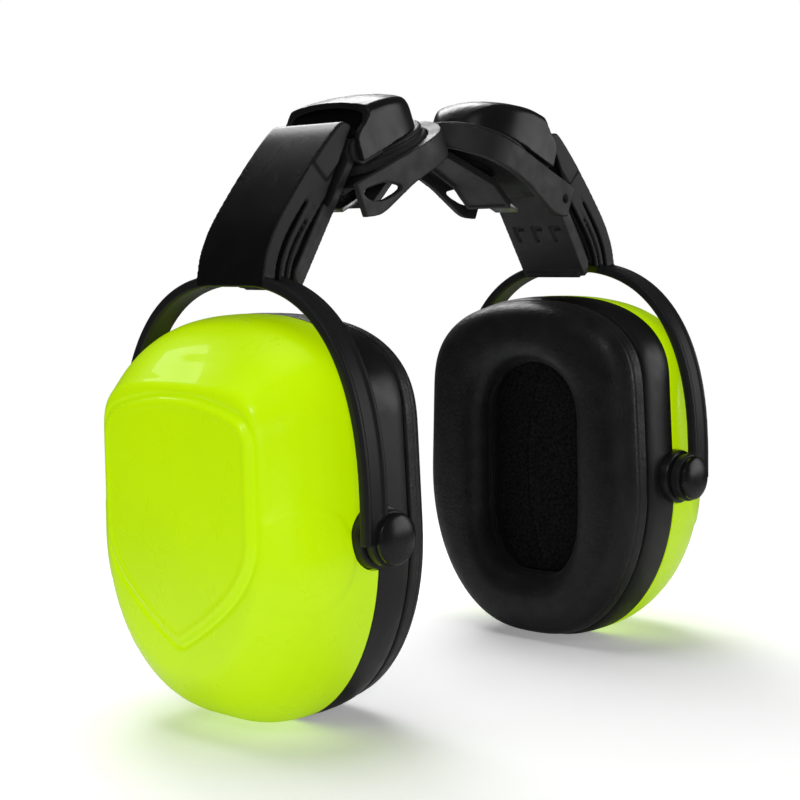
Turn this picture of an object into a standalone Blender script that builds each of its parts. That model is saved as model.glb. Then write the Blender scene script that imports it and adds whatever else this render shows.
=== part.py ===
"""Pair of cap-mounted earmuff units: two identical units, the second turned half a turn about Z.

Each unit is modelled on the +X side in millimetres, then placed in metres.
"""
import math

import bmesh
import bpy
from mathutils import Matrix, Vector

MM = 0.001

# ---------------------------------------------------------------- driving sizes (mm)
CUP_HEIGHT = 108.0
CUP_HALF_LOW = 42.5
CUP_HALF_HIGH = 41.0
STAND_FLAT = 5.0
RIM_X = 66.0
FACE_X = 95.6
SHELL_WALL = 2.4
GAP = 0.3

RING_FACE_X = 54.6
PLATE_X = (53.2, 54.3)
CUSHION_BACK_X = 52.9
CUSHION_FRONT_X = 43.2

EAR_HALF = 18.5
EAR_Z = (20.5, 88.0)

PIN_X = 66.4
PIN_Z = 53.0
BOSS_R = 8.2
BOSS_Y = (38.5, 44.7)
LUG_R = 7.2
LUG_Y = (45.1, 48.1)
SHANK_R = 2.0
CAP_R = 6.6
CAP_Y = (48.4, 51.2)

STRAP_X = (68.0, 76.0)
STRAP_HALF = 46.9
STRAP_BASE_Z = 57.0
STRAP_RISE = 60.2
STRAP_THICK = 3.0
STRAP_POWER = 0.80

# arm and stem share one straight line; "along" runs up it, "out" is square to it
LINE_ORIGIN = (50.5, 132.0)
LINE_UP = (-0.53, 0.848)
LINE_OUT = (0.848, 0.53)
ARM_HALF = 13.0
HEAD_HALF = 13.4
ARM_INNER = 4.8
STEM_THICK = 2.4
STEM_HALF = 12.0
STEM_ALONG = (-20.8, 19.0)
RAIL_ALONG = (-14.0, 2.0)
SLOT_ALONG = (-15.2, 19.0)
HINGE_ALONG = 21.5
HINGE_OUT = 1.2
HINGE_R = 1.3

# adapter deck: "run" goes up and inward along the deck, "lift" is square to it
DECK_ORIGIN = (22.0, 149.9)
DECK_TILT = math.radians(23.5)
COLLAR_R = 17.0
RIDGE_R = 16.2
DECK_PLAN = [
    (-26.6, 19.2), (-14.0, 19.4), (-4.0, 19.8), (4.0, 19.8),
    (11.0, 18.0), (15.5, 14.6), (19.0, 10.0), (21.3, 4.5),
]
FRAME_LIP = 2.4
NOTCH_RUN = -22.6
NOTCH_HALF = 17.2
DECK_THICK = 2.2
WALL_THICK = 2.0
HOOD_HALF = 15.9
HOOD_WALL = 1.8

# ---------------------------------------------------------------- colours
GREEN = (0.56, 0.93, 0.01, 1.0)
BLACK = (0.018, 0.018, 0.020, 1.0)
SOFT_BLACK = (0.012, 0.012, 0.013, 1.0)
FOAM = (0.022, 0.022, 0.024, 1.0)
STEEL = (0.55, 0.56, 0.58, 1.0)


def clear_scene():
    for obj in list(bpy.data.objects):
        bpy.data.objects.remove(obj, do_unlink=True)


def material_for(name, colour, rough, metal):
    mat = bpy.data.materials.new(name)
    mat.use_nodes = True
    bsdf = mat.node_tree.nodes.get("Principled BSDF")
    bsdf.inputs["Base Color"].default_value = colour
    bsdf.inputs["Roughness"].default_value = rough
    bsdf.inputs["Metallic"].default_value = metal
    mat.diffuse_color = colour
    return mat


# ---------------------------------------------------------------- solids
def solid(name, points, faces):
    """A closed object from points in mm."""
    mesh = bpy.data.meshes.new(name)
    mesh.from_pydata([Vector(p) * MM for p in points], [], faces)
    obj = bpy.data.objects.new(name, mesh)
    bpy.context.scene.collection.objects.link(obj)
    bm = bmesh.new()
    bm.from_mesh(mesh)
    bmesh.ops.remove_doubles(bm, verts=bm.verts, dist=1e-7)
    bmesh.ops.recalc_face_normals(bm, faces=bm.faces)
    bm.to_mesh(mesh)
    bm.free()
    return obj


def loft(name, rings, loop=False):
    """Skin equal rings of points; capped ends, or joined last to first."""
    count = len(rings[0])
    points = [p for ring in rings for p in ring]
    faces = []
    spans = len(rings) if loop else len(rings) - 1
    for i in range(spans):
        a = i * count
        b = ((i + 1) % len(rings)) * count
        for k in range(count):
            m = (k + 1) % count
            faces.append((a + k, a + m, b + m, b + k))
    if not loop:
        faces.append(tuple(range(count)))
        last = (len(rings) - 1) * count
        faces.append(tuple(range(last, last + count)))
    return solid(name, points, faces)


def prism(name, outline_2d, low, high, place):
    """Extrude a 2-D outline; place(a, b, c) gives the point, c the extrusion."""
    rings = [[place(a, b, c) for a, b in outline_2d] for c in (low, high)]
    return loft(name, rings)


def drum(name, start, direction, radius, length, sides=32):
    """A cylinder from start along a unit direction."""
    axis = Vector(direction).normalized()
    side = axis.orthogonal().normalized()
    other = axis.cross(side)
    rings = []
    for step in (0.0, length):
        centre = Vector(start) + axis * step
        ring = []
        for k in range(sides):
            turn = 2 * math.pi * k / sides
            ring.append(centre + side * radius * math.cos(turn) + other * radius * math.sin(turn))
        rings.append(ring)
    return loft(name, rings)


def lathe(name, centre, direction, profile, sides=48):
    """Turn a profile of (radius, height) rings; the ends are capped."""
    axis = Vector(direction).normalized()
    side = axis.orthogonal().normalized()
    other = axis.cross(side)
    rings = []
    for radius, height in profile:
        mid = Vector(centre) + axis * height
        ring = []
        for k in range(sides):
            turn = 2 * math.pi * k / sides
            ring.append(mid + side * radius * math.cos(turn) + other * radius * math.sin(turn))
        rings.append(ring)
    return loft(name, rings)


def combine(obj, tools, operation):
    """Apply exact booleans and throw the tools away."""
    for tool in tools:
        mod = obj.modifiers.new("bool", "BOOLEAN")
        mod.operation = operation
        mod.solver = "EXACT"
        mod.object = tool
    bpy.context.view_layer.update()
    graph = bpy.context.evaluated_depsgraph_get()
    mesh = bpy.data.meshes.new_from_object(obj.evaluated_get(graph))
    obj.modifiers.clear()
    obj.data = mesh
    for tool in tools:
        bpy.data.objects.remove(tool, do_unlink=True)
    bm = bmesh.new()
    bm.from_mesh(mesh)
    bmesh.ops.remove_doubles(bm, verts=bm.verts, dist=2e-6)
    bmesh.ops.dissolve_degenerate(bm, edges=bm.edges, dist=1e-6)
    bm.to_mesh(mesh)
    bm.free()
    return obj


def cut(obj, *tools):
    return combine(obj, tools, "DIFFERENCE")


def join(obj, *tools):
    return combine(obj, tools, "UNION")


# ---------------------------------------------------------------- shared outlines
def outline(half_low, half_high, z_low, z_high, sharp=2.35, low_part=0.46, high_part=0.24):
    """Closed (y, z) outline of the cup: round below, squarer above, a short flat at the foot."""
    height = z_high - z_low
    z_side = z_low + low_part * height
    z_shoulder = z_high - high_part * height
    half = []
    for i in range(9):
        turn = 0.5 * math.pi * i / 8
        y = STAND_FLAT + (half_low - STAND_FLAT) * math.sin(turn)
        half.append((y, z_side - (z_side - z_low) * math.cos(turn)))
    for i in (1, 2):
        part = i / 3
        half.append((half_low + (half_high - half_low) * part, z_side + (z_shoulder - z_side) * part))
    for i in range(7):
        turn = 0.5 * math.pi * i / 7
        y = half_high * math.cos(turn) ** (2 / sharp)
        half.append((y, z_shoulder + (z_high - z_shoulder) * math.sin(turn) ** (2 / sharp)))
    top = [(0.0, z_high)]
    return half + top + [(-y, z) for y, z in reversed(half)]


def cup_ring(x, inset=0.0):
    pts = outline(CUP_HALF_LOW - inset, CUP_HALF_HIGH - inset, inset, CUP_HEIGHT - inset)
    return [(x, y, z) for y, z in pts]


def ear_ring(x, grow=0.0):
    pts = outline(EAR_HALF + grow, EAR_HALF + grow, EAR_Z[0] - grow, EAR_Z[1] + grow, 2.1, 0.28, 0.26)
    return [(x, y, z) for y, z in pts]


def shell_ring(x, half_low, half_high, z_low, z_high, sharp, inset=0.0):
    pts = outline(half_low - inset, half_high - inset, z_low + inset, z_high - inset, sharp)
    return [(x, y, z) for y, z in pts]


SHELL_SECTIONS = [
    (RIM_X, 42.5, 41.0, 0.0, 108.0, 2.35),
    (73.0, 42.3, 40.6, 0.4, 107.6, 2.4),
    (80.0, 41.0, 39.0, 2.4, 105.6, 2.5),
    (86.0, 38.4, 36.4, 5.8, 102.2, 2.7),
    (91.0, 34.8, 33.2, 10.2, 97.4, 3.0),
    (94.2, 31.4, 30.6, 14.4, 93.2, 3.3),
    (FACE_X, 29.6, 29.6, 17.4, 90.6, 3.6),
]

SHIELD_HALF = 28.6
SHIELD_SIDE_Z = (53.0, 82.0)
SHIELD_TIP_Z = 24.5
SHIELD_CROWN_Z = 88.0


def shield_outline():
    """Heater-shield outline in (y, z): arched top, straight sides, rounded point."""
    right = []
    for i in range(9):
        turn = 0.5 * math.pi * i / 8
        y = SHIELD_HALF * math.sin(turn) ** 1.15
        drop = (SHIELD_SIDE_Z[0] - SHIELD_TIP_Z) * math.cos(turn) ** 1.25
        right.append((y, SHIELD_SIDE_Z[0] - drop))
    right.append((SHIELD_HALF, SHIELD_SIDE_Z[1] - 1.5))
    right.append((SHIELD_HALF - 0.6, SHIELD_SIDE_Z[1]))
    right.append((SHIELD_HALF - 2.2, SHIELD_SIDE_Z[1] + 1.2))
    for part in (0.7, 0.45, 0.2):
        y = SHIELD_HALF * part
        right.append((y, SHIELD_SIDE_Z[1] + 1.4 + (SHIELD_CROWN_Z - SHIELD_SIDE_Z[1] - 1.4) * (1 - part ** 2)))
    left = [(-y, z) for y, z in reversed(right) if y > 1e-6]
    return right + left


def along_out(along, out, y):
    """A point on the arm line: along it, out from it, across."""
    x = LINE_ORIGIN[0] + along * LINE_UP[0] + out * LINE_OUT[0]
    z = LINE_ORIGIN[1] + along * LINE_UP[1] + out * LINE_OUT[1]
    return (x, y, z)


def run_lift(run, lift, y):
    """A point on the adapter deck: along it inward, above it, across."""
    c = math.cos(DECK_TILT)
    s = math.sin(DECK_TILT)
    return (DECK_ORIGIN[0] - run * c + lift * s, y, DECK_ORIGIN[1] + run * s + lift * c)


def deck_normal():
    return (math.sin(DECK_TILT), 0.0, math.cos(DECK_TILT))


# ---------------------------------------------------------------- cup
def make_cup_shell(tag):
    rings = []
    for x, lo, hi, z0, z1, sharp in reversed(SHELL_SECTIONS):
        inner_x = max(x - SHELL_WALL * (x - RIM_X) / (FACE_X - RIM_X), RIM_X)
        rings.append(shell_ring(inner_x, lo, hi, z0, z1, sharp, SHELL_WALL))
    for section in SHELL_SECTIONS:
        rings.append(shell_ring(*section))
    shell = loft(tag + "cup_shell", rings)
    panel = prism("tool", shield_outline(), FACE_X - 1.2, FACE_X + 0.9, lambda a, b, c: (c, a, b))
    join(shell, panel)
    notch = drum("tool", (PIN_X, -60, PIN_Z), (0, 1, 0), BOSS_R + 0.5, 120, 28)
    return cut(shell, notch)


def make_base_ring(tag):
    rings = [
        cup_ring(RIM_X - GAP, 0.0),
        cup_ring(60.5, 0.0),
        cup_ring(56.2, 1.2),
        cup_ring(RING_FACE_X, 2.6),
        ear_ring(RING_FACE_X, 1.0),
        ear_ring(57.2, 1.0),
        cup_ring(57.2, 4.6),
        cup_ring(69.0, 4.6),
        cup_ring(69.0, 2.9),
        cup_ring(RIM_X - GAP, 2.9),
    ]
    ring = loft(tag + "base_ring", rings, loop=True)
    bosses = []
    for sign in (-1, 1):
        start = (PIN_X, sign * BOSS_Y[0], PIN_Z)
        bosses.append(drum("tool", start, (0, sign, 0), BOSS_R, BOSS_Y[1] - BOSS_Y[0], 28))
    join(ring, *bosses)
    bore = drum("tool", (PIN_X, -60, PIN_Z), (0, 1, 0), SHANK_R + 0.3, 120, 16)
    return cut(ring, bore)


def make_cushion(tag):
    depth = CUSHION_BACK_X - CUSHION_FRONT_X
    rings = [
        cup_ring(CUSHION_BACK_X, 2.8),
        cup_ring(CUSHION_BACK_X - 0.25 * depth, 1.8),
        cup_ring(CUSHION_BACK_X - 0.50 * depth, 1.8),
        cup_ring(CUSHION_BACK_X - 0.76 * depth, 3.0),
        cup_ring(CUSHION_BACK_X - 0.93 * depth, 5.8),
        cup_ring(CUSHION_FRONT_X, 10.0),
        ear_ring(CUSHION_FRONT_X, 5.8),
        ear_ring(CUSHION_BACK_X - 0.93 * depth, 2.4),
        ear_ring(CUSHION_BACK_X - 0.72 * depth, 0.5),
        ear_ring(CUSHION_BACK_X - 0.40 * depth, 0.0),
        ear_ring(CUSHION_BACK_X, 0.6),
    ]
    return loft(tag + "cushion", rings, loop=True)


def make_cushion_plate(tag):
    rings = [
        cup_ring(PLATE_X[0], 2.9),
        cup_ring(PLATE_X[1], 2.9),
        ear_ring(PLATE_X[1], 0.8),
        ear_ring(PLATE_X[0], 0.8),
    ]
    return loft(tag + "cushion_plate", rings, loop=True)


def make_foam_cover(tag):
    return loft(tag + "foam_cover", [ear_ring(57.5, 6.0), ear_ring(60.0, 6.0)])


def make_foam_block(tag):
    rings = [cup_ring(60.3, 8.0), cup_ring(72.0, 8.0)]
    for x, lo, hi, z0, z1, sharp in SHELL_SECTIONS[2:5]:
        rings.append(shell_ring(x - 3.4, lo, hi, z0, z1, sharp, 8.0))
    return loft(tag + "foam_block", rings)


def make_pivot_pin(tag, sign, label):
    rise = CAP_Y[1] - CAP_Y[0]
    profile = [
        (SHANK_R, 36.5 - CAP_Y[0]),
        (SHANK_R, 0.0),
        (CAP_R, 0.0),
        (CAP_R, 0.3 * rise),
        (CAP_R * 0.9, 0.62 * rise),
        (CAP_R * 0.62, 0.88 * rise),
        (CAP_R * 0.25, rise),
    ]
    centre = (PIN_X, sign * CAP_Y[0], PIN_Z)
    return lathe(tag + "pivot_pin_" + label, centre, (0, sign, 0), profile, 20)


# ---------------------------------------------------------------- yoke and arm
def strap_path():
    pts = [(STRAP_HALF, PIN_Z - 1.0)]
    steps = 28
    for i in range(steps + 1):
        turn = math.pi * i / steps
        y = math.copysign(abs(math.cos(turn)) ** STRAP_POWER, math.cos(turn)) * STRAP_HALF
        if i in (0, steps):
            y = math.copysign(STRAP_HALF, math.cos(turn))
        z = STRAP_BASE_Z + STRAP_RISE * abs(math.sin(turn)) ** STRAP_POWER
        pts.append((y, z))
    pts.append((-STRAP_HALF, PIN_Z - 1.0))
    return pts


def make_strap():
    path = [Vector(p) for p in strap_path()]
    section = [
        (STRAP_X[0], -0.5), (STRAP_X[1], -0.5), (STRAP_X[1], 0.34),
        (STRAP_X[1] - 0.7, 0.5), (STRAP_X[0] + 0.7, 0.5), (STRAP_X[0], 0.34),
    ]
    rings = []
    for i, mid in enumerate(path):
        before = path[max(i - 1, 0)]
        after = path[min(i + 1, len(path) - 1)]
        run = (after - before).normalized()
        outward = Vector((run.y, -run.x))
        ring = []
        for x, part in section:
            spot = mid + outward * part * STRAP_THICK
            ring.append((x, spot.x, spot.y))
        rings.append(ring)
    return rings


ARM_PROFILE = [
    (75.9, 115.3), (75.8, 118.2), (74.4, 124.0), (70.8, 131.0), (64.4, 139.4), (57.8, 147.2),
    (51.4, 154.0), (47.6, 157.4), (46.2, 158.2), (44.4, 158.0), (41.6, 155.9), (41.32, 155.74),
    (63.05, 120.98), (66.0, 117.8), (68.3, 115.3),
]
HEAD_PROFILE = [
    (58.6, 147.6), (51.8, 154.6), (47.8, 158.0), (46.2, 158.8), (44.0, 158.4), (41.9, 156.4),
    (47.2, 147.7), (57.0, 146.4),
]


def make_yoke_arm(tag):
    yoke = loft(tag + "yoke_arm", make_strap())
    arm = prism("tool", ARM_PROFILE, -ARM_HALF, ARM_HALF, lambda a, b, c: (a, c, b))
    head = prism("tool", HEAD_PROFILE, -HEAD_HALF, HEAD_HALF, lambda a, b, c: (a, c, b))
    lugs = []
    for sign in (-1, 1):
        start = (PIN_X, sign * LUG_Y[0], PIN_Z)
        lugs.append(drum("tool", start, (0, sign, 0), LUG_R, LUG_Y[1] - LUG_Y[0], 28))
    join(yoke, arm, head, *lugs)
    tools = []
    for sign in (-1, 1):
        for low, high, depth in ((9.2, 10.3, 1.1), (4.0, 6.6, 1.2)):
            box = [(-19.0, low), (8.0, low), (8.0, high), (-19.0, high)]
            near = sign * (ARM_HALF - depth)
            far = sign * (ARM_HALF + 2)
            tools.append(prism("tool", box, min(near, far), max(near, far), along_out))
    low, high = SLOT_ALONG
    cavity = [(low, 7.3), (high, 7.3), (high, 10.3), (low, 10.3)]
    mouth = [(low + 0.4, 4.0), (high - 0.4, 4.0), (high - 0.4, 7.8), (low + 0.4, 7.8)]
    tools.append(prism("tool", cavity, -6.8, 6.8, along_out))
    tools.append(prism("tool", mouth, -3.8, 3.8, along_out))
    tools.append(drum("tool", (PIN_X, -60, PIN_Z), (0, 1, 0), SHANK_R + 0.3, 120, 16))
    return cut(yoke, *tools)


def make_stem(tag):
    low, high = STEM_ALONG
    body = [(low, 0.0), (high, 0.0), (high, STEM_THICK), (low, STEM_THICK)]
    stem = prism(tag + "stem", body, -STEM_HALF, STEM_HALF, along_out)
    foot = [(low, -1.0), (low + 1.8, -1.0), (low + 1.8, 1.0), (low, 1.0)]
    web = [(RAIL_ALONG[0], 1.0), (RAIL_ALONG[1], 1.0), (RAIL_ALONG[1], 8.4), (RAIL_ALONG[0], 8.4)]
    tee = [(RAIL_ALONG[0], 7.6), (RAIL_ALONG[1], 7.6), (RAIL_ALONG[1], 10.0), (RAIL_ALONG[0], 10.0)]
    parts = [
        prism("tool", foot, -10.5, 10.5, along_out),
        prism("tool", web, -3.5, 3.5, along_out),
        prism("tool", tee, -6.5, 6.5, along_out),
    ]
    for y0 in (-11.5, 6.0):
        parts.append(drum("tool", along_out(HINGE_ALONG, HINGE_OUT, y0), (0, 1, 0), 3.1, 5.5, 20))
    join(stem, *parts)
    tools = [drum("tool", along_out(HINGE_ALONG, HINGE_OUT, -20), (0, 1, 0), HINGE_R + 0.15, 40, 20)]
    notch = [(14.5, -3.0), (30.0, -3.0), (30.0, 5.0), (14.5, 5.0)]
    tools.append(prism("tool", notch, -5.7, 5.7, along_out))
    for y0 in (-8.5, -2.2, 4.1):
        leg = [(-3.6, -1.0), (4.6, -1.0), (4.6, 0.6), (-3.6, 0.6)]
        bar = [(3.4, -1.0), (4.6, -1.0), (4.6, 0.6), (3.4, 0.6)]
        tools.append(prism("tool", leg, y0, y0 + 1.2, along_out))
        tools.append(prism("tool", bar, y0 + 0.6, y0 + 4.2, along_out))
    return cut(stem, *tools)


def make_hinge_pin(tag):
    start = along_out(HINGE_ALONG, HINGE_OUT, -13.8)
    return drum(tag + "hinge_pin", start, (0, 1, 0), HINGE_R, 27.6, 20)


def make_torsion_spring(tag):
    """Coil about the hinge pin with two short legs."""
    centre = Vector(along_out(HINGE_ALONG, HINGE_OUT, 0.0))
    up = Vector((LINE_UP[0], 0, LINE_UP[1]))
    out = Vector((LINE_OUT[0], 0, LINE_OUT[1]))
    across = Vector((0, 1, 0))
    turns = 4.5
    steps = int(turns * 10)
    radius = 2.35
    path = []
    first = centre + across * -4.4
    path.append(first - out * radius + up * 4.0)
    for i in range(steps + 1):
        part = i / steps
        turn = math.pi + 2 * math.pi * turns * part
        spot = centre + across * (-4.4 + 8.8 * part)
        path.append(spot + out * radius * math.cos(turn) + up * radius * math.sin(turn))
    last = path[-1]
    path.append(last + up * 2.4)
    wire = 0.5
    rings = []
    for i, mid in enumerate(path):
        before = path[max(i - 1, 0)]
        after = path[min(i + 1, len(path) - 1)]
        run = (after - before).normalized()
        side = across - run * run.dot(across)
        side.normalize()
        other = run.cross(side)
        ring = []
        for k in range(5):
            turn = 2 * math.pi * k / 5
            ring.append(mid + side * wire * math.cos(turn) + other * wire * math.sin(turn))
        rings.append(ring)
    return loft(tag + "torsion_spring", rings)


# ---------------------------------------------------------------- turret
def make_turret(tag):
    centre = run_lift(0, 0, 0)
    profile = [
        (5.0, -2.4), (5.0, 0.3), (COLLAR_R, 0.3), (COLLAR_R, 2.1), (COLLAR_R - 0.6, 2.7),
        (RIDGE_R, 2.8), (RIDGE_R, 4.4), (RIDGE_R - 0.6, 5.0),
    ]
    turret = lathe(tag + "turret", centre, deck_normal(), profile, 40)
    hx, _, hz = along_out(HINGE_ALONG, HINGE_OUT, 0)
    c, s = math.cos(DECK_TILT), math.sin(DECK_TILT)
    dx, dz = hx - DECK_ORIGIN[0], hz - DECK_ORIGIN[1]
    h_run = -dx * c + dz * s
    h_lift = dx * s + dz * c
    ear = [
        (h_run - 0.6, 4.0), (h_run - 2.9, h_lift - 2.0), (h_run - 3.2, h_lift), (h_run - 2.2, h_lift + 2.4),
        (h_run, h_lift + 3.2), (h_run + 2.4, h_lift + 2.4), (h_run + 12.0, 4.8), (h_run + 12.0, 4.0),
    ]
    ears = []
    for low, high in ((-13.8, -12.3), (12.3, 13.8)):
        ears.append(prism("tool", ear, low, high, run_lift))
    join(turret, *ears)
    bore = drum("tool", (hx, -20, hz), (0, 1, 0), HINGE_R + 0.15, 40, 20)
    seat = run_lift(0, -5, 0)
    hole = drum("tool", seat, deck_normal(), 2.6, 8.4, 20)
    return cut(turret, bore, hole)


HOOD_END = 13.4
HOOD_TOP = [
    (-18.6, 19.4), (-12.0, 20.0), (-7.0, 19.7), (-2.0, 18.9), (4.0, 17.2), (8.0, 15.5),
    (11.0, 13.0), (12.7, 10.4), (HOOD_END, 7.6),
]


def hood_half(run, half, end):
    if run <= -6:
        return half
    return half * math.sqrt(max(1 - ((run + 6) / (end + 6.4)) ** 2.6, 0.0))


def hood_sections(shrink, base, first):
    rings = []
    for run, top in HOOD_TOP:
        place = max(run, first) if run < 0 else run * (HOOD_END - shrink) / HOOD_END
        if run < -15:
            place = first
        half = hood_half(run, HOOD_HALF - shrink, HOOD_END)
        crown = top - shrink
        edge = min(2.4, half * 0.45)
        drop = min(4.0, (crown - base) * 0.5)
        arch = [
            (-half, base), (-half, crown - drop), (-half + edge, crown - 1.6), (0.0, crown),
            (half - edge, crown - 1.6), (half, crown - drop), (half, base),
        ]
        rings.append([run_lift(place, lift, y) for y, lift in arch])
    return rings


def make_hood(tag):
    hood = loft(tag + "hood", hood_sections(0.0, 5.3, -18.6))
    hollow = loft("tool", hood_sections(HOOD_WALL, 3.0, -24.0))
    mouth = [
        (-30.0, 3.0), (-18.4, 3.0), (-18.2, 9.0), (-17.8, 11.6), (-16.2, 13.4), (-13.2, 14.8),
        (-10.6, 17.6), (-10.2, 24.0), (-30.0, 24.0),
    ]
    return cut(hood, hollow, prism("tool", mouth, -20, 20, run_lift))


def make_turret_rivet(tag):
    centre = run_lift(0, 0, 0)
    profile = [(5.6, -4.3), (7.4, -3.5), (7.4, -2.7), (2.35, -2.7), (2.35, 2.9)]
    return lathe(tag + "turret_rivet", centre, deck_normal(), profile, 24)


# ---------------------------------------------------------------- adapter
def plan_outline(inset):
    pts = []
    for i, (run, half) in enumerate(DECK_PLAN):
        shift = 0.0
        if i == 0:
            shift = inset
        if i == len(DECK_PLAN) - 1:
            shift = -inset
        slim = inset if i < 5 else inset * 1.25
        pts.append((run + shift, half - slim))
    return pts + [(run, -half) for run, half in reversed(pts)]


def make_adapter_frame(tag):
    def flat(a, b, c):
        return run_lift(a, c, b)

    frame = prism(tag + "adapter_frame", plan_outline(0.0), -12.0, FRAME_LIP, flat)
    under = [
        (-34.0, -6.2), (-26.6, -7.4), (-21.0, -8.5), (-14.0, -7.6), (-7.0, -6.2), (0.0, -5.6),
        (12.0, -5.4), (30.0, -5.2), (30.0, -16.0), (-34.0, -16.0),
    ]
    seat = COLLAR_R + 0.4
    channel = [(-34.0, -seat), (0.0, -seat), (0.0, seat), (-34.0, seat)]
    notch = [(-34.0, -NOTCH_HALF), (NOTCH_RUN, -NOTCH_HALF), (NOTCH_RUN, NOTCH_HALF), (-34.0, NOTCH_HALF)]
    window = [
        (-24.6, 0.2), (-24.4, -2.6), (-22.0, -4.4), (-18.0, -5.6), (-12.5, -5.6), (-10.6, -5.0),
        (-12.0, -3.6), (-16.5, -1.2),
    ]
    tools = [
        prism("tool", under, -30, 30, run_lift),
        prism("tool", plan_outline(WALL_THICK), -14.0, -DECK_THICK, flat),
        prism("tool", channel, 0.0, 8.0, flat),
        drum("tool", run_lift(0, 0, 0), deck_normal(), seat, 8.0, 48),
        prism("tool", notch, -14.0, 1.0, flat),
        prism("tool", window, 9.0, 26.0, run_lift),
        drum("tool", run_lift(-23.4, -2.6, -26.0), (0, 1, 0), 1.2, 14, 16),
        drum("tool", run_lift(0, -8, 0), deck_normal(), 5.3, 12, 32),
    ]
    return cut(frame, *tools)


BLADE_STATIONS = [(-12.4, 8.4, -8.1), (-3.0, 8.2, -4.9), (16.6, 6.2, -4.9)]


def blade_rings(slim, low, high, ends):
    rings = []
    last = len(BLADE_STATIONS) - 1
    for i, (run, half, top) in enumerate(BLADE_STATIONS):
        place = run
        if i == 0:
            place += ends
        if i == last:
            place -= ends
        wide = half - slim
        loop = [(-wide, top + low), (wide, top + low), (wide, top + high), (-wide, top + high)]
        rings.append([run_lift(place, lift, y) for y, lift in loop])
    return rings


def make_slot_blade(tag):
    blade = loft(tag + "slot_blade", blade_rings(0.0, -2.2, 0.0, 0.0))
    return cut(blade, loft("tool", blade_rings(1.0, -5.0, -1.3, 1.0)))


def make_blade_clip(tag):
    arm = [(-20.8, -7.8), (-20.8, -6.4), (-13.2, -6.4), (-9.6, -4.6), (-8.6, -5.2), (-12.2, -7.8)]
    return prism(tag + "blade_clip", arm, -4.5, 4.5, run_lift)


# ---------------------------------------------------------------- placing
def place(obj, turned, origin_mm, look):
    """Move the object's origin to a point, turn the unit, and give it a material."""
    colour, rough, metal = look
    origin = Vector(origin_mm) * MM
    obj.data.transform(Matrix.Translation(-origin))
    if turned:
        half_turn = Matrix.Rotation(math.pi, 4, "Z")
        obj.data.transform(half_turn)
        origin = half_turn @ origin
    obj.location = origin
    obj.data.materials.clear()
    obj.data.materials.append(material_for(obj.name, colour, rough, metal))


def build_unit(tag, turned):
    green = (GREEN, 0.25, 0.0)
    plastic = (BLACK, 0.42, 0.0)
    soft = (SOFT_BLACK, 0.55, 0.0)
    foam = (FOAM, 0.9, 0.0)
    steel = (STEEL, 0.3, 1.0)
    pin = (PIN_X, 0.0, PIN_Z)
    hinge = along_out(HINGE_ALONG, HINGE_OUT, 0.0)
    deck = run_lift(0, 0, 0)
    slide = along_out(-6.0, 5.0, 0.0)
    place(make_cup_shell(tag), turned, pin, green)
    place(make_base_ring(tag), turned, pin, plastic)
    place(make_cushion(tag), turned, pin, soft)
    place(make_cushion_plate(tag), turned, pin, plastic)
    place(make_foam_cover(tag), turned, pin, foam)
    place(make_foam_block(tag), turned, pin, foam)
    place(make_pivot_pin(tag, -1, "a"), turned, pin, plastic)
    place(make_pivot_pin(tag, 1, "b"), turned, pin, plastic)
    place(make_yoke_arm(tag), turned, slide, plastic)
    place(make_stem(tag), turned, hinge, plastic)
    place(make_hinge_pin(tag), turned, hinge, steel)
    place(make_torsion_spring(tag), turned, hinge, steel)
    place(make_turret(tag), turned, deck, plastic)
    place(make_hood(tag), turned, deck, plastic)
    place(make_turret_rivet(tag), turned, deck, plastic)
    place(make_adapter_frame(tag), turned, deck, plastic)
    place(make_slot_blade(tag), turned, deck, plastic)
    place(make_blade_clip(tag), turned, deck, plastic)


def main():
    clear_scene()
    build_unit("right_", False)
    build_unit("left_", True)


main()
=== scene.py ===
"""Looks for a pair of cap-mounted earmuff units standing on their cups, tip to tip.

Each piece is modelled once, on the +X side in millimetres, then copied to both units;
the left unit is the right one turned half a turn about Z.
"""
import math

import bmesh
import bpy
import numpy as np
from mathutils import Matrix, Vector


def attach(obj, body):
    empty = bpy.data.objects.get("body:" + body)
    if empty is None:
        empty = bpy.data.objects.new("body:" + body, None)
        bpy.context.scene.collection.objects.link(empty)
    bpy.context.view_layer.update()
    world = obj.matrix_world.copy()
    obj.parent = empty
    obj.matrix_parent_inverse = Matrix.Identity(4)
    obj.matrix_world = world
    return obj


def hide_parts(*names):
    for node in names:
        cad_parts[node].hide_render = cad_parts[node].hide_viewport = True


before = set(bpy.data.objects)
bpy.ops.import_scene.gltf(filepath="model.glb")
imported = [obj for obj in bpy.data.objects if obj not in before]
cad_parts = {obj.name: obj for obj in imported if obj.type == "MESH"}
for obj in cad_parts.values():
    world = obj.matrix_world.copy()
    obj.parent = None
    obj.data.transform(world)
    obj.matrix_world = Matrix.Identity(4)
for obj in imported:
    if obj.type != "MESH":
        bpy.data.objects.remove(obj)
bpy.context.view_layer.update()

MM = 0.001
HALF_TURN = Matrix.Rotation(math.pi, 4, "Z")
scene = bpy.context.scene

# ---------------------------------------------------------------- sizes (mm)
CUP_HEIGHT = 108.0
CUP_HALF_LOW = 42.5
CUP_HALF_HIGH = 41.0
STAND_FLAT = 5.0
FACE_X = 95.6
SHELL_WALL = 2.2
EAR_HALF = 18.5
EAR_Z = (20.5, 88.0)
PIN_X = 66.4
PIN_Z = 53.0
SHELL_BORE_R = 8.7

STRAP_X = (68.0, 76.0)
STRAP_HALF = 46.9
STRAP_BASE_Z = 57.0
STRAP_RISE = 60.2
STRAP_THICK = 3.0
STRAP_POWER = 0.80

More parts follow.
